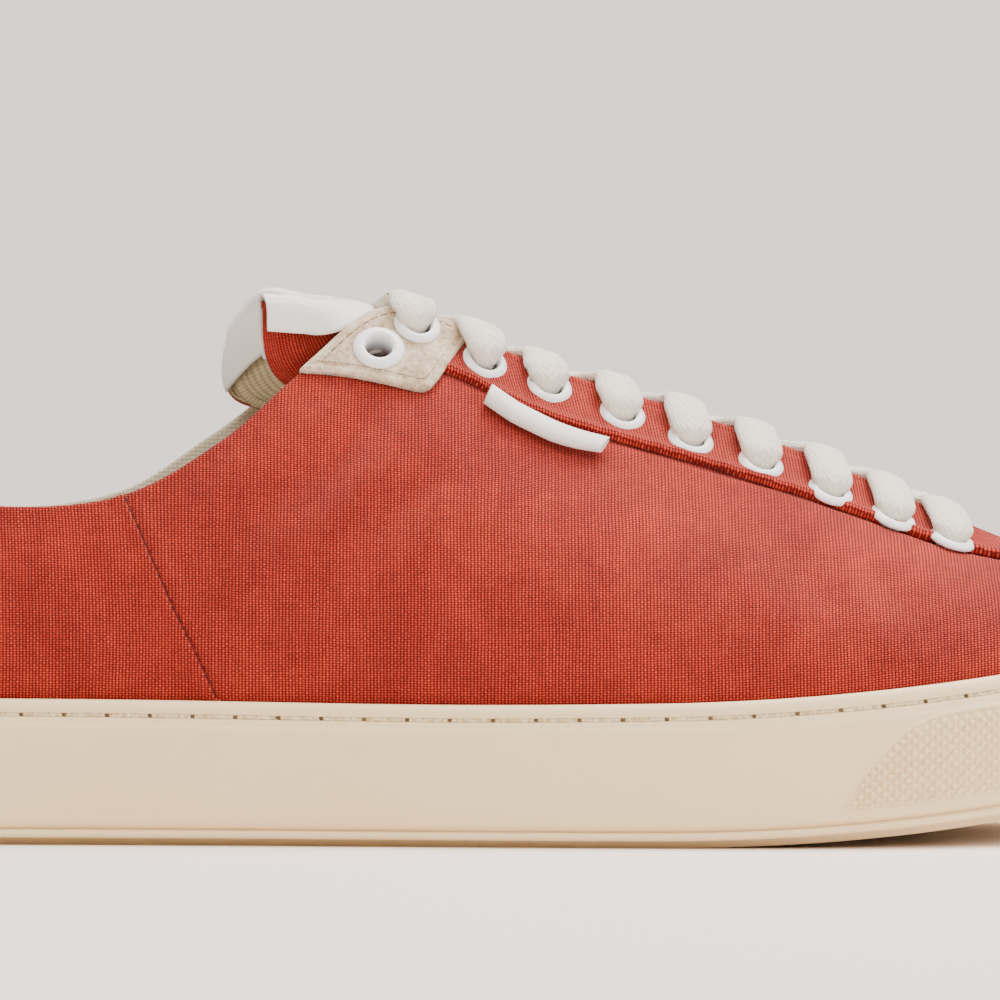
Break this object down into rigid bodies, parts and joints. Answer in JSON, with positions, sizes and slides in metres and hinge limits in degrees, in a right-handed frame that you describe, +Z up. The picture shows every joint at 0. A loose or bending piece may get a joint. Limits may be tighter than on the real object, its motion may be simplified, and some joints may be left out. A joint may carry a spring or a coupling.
{
  "type": "canvas sneaker",
  "caption": "Low lace-up sneaker for a right foot: canvas upper open at collar and throat, tongue, suede corners, metal eyelets, flat lace and a stitched rubber cup sole.",
  "frame": {"origin": "on the floor, under the middle of the overall box", "axes": "+X to the toe, +Y to the inner (medial) side, +Z up; the shoe stands on its sole"},
  "size_m": [0.3, 0.1061, 0.1066],
  "materials": {
    "canvas": "plain woven cotton in coral red",
    "rubber": "cream, satin, with a woven relief on the toe bumper",
    "insole_fabric": "woven fabric over foam",
    "suede": "beige suede with a fuzzy cut edge",
    "eyelet_enamel": "white enamel",
    "lace_cotton": "soft braided cotton, off-white",
    "ribbon": "woven ribbon, white"
  },
  "bodies": {
    "root": {"sole": "rubber", "insole": "insole_fabric", "upper": "canvas", "tongue": "canvas", "patch_lateral": "suede", "patch_medial": "suede", "eyelet_lateral_1": "eyelet_enamel", "eyelet_lateral_2": "eyelet_enamel", "eyelet_lateral_3": "eyelet_enamel", "eyelet_lateral_4": "eyelet_enamel", "eyelet_lateral_5": "eyelet_enamel", "eyelet_lateral_6": "eyelet_enamel", "eyelet_lateral_7": "eyelet_enamel", "eyelet_lateral_8": "eyelet_enamel", "eyelet_lateral_9": "eyelet_enamel", "eyelet_lateral_10": "eyelet_enamel", "eyelet_medial_1": "eyelet_enamel", "eyelet_medial_2": "eyelet_enamel", "eyelet_medial_3": "eyelet_enamel", "eyelet_medial_4": "eyelet_enamel", "eyelet_medial_5": "eyelet_enamel", "eyelet_medial_6": "eyelet_enamel", "eyelet_medial_7": "eyelet_enamel", "eyelet_medial_8": "eyelet_enamel", "eyelet_medial_9": "eyelet_enamel", "eyelet_medial_10": "eyelet_enamel", "lace_cross_1": "lace_cotton", "lace_cross_2": "lace_cotton", "lace_cross_3": "lace_cotton", "lace_cross_4": "lace_cotton", "lace_cross_5": "lace_cotton", "lace_cross_6": "lace_cotton", "lace_cross_7": "lace_cotton", "lace_cross_8": "lace_cotton", "lace_cross_9": "lace_cotton", "tongue_label": "ribbon", "side_label": "ribbon"}
  },
  "joints": []
}
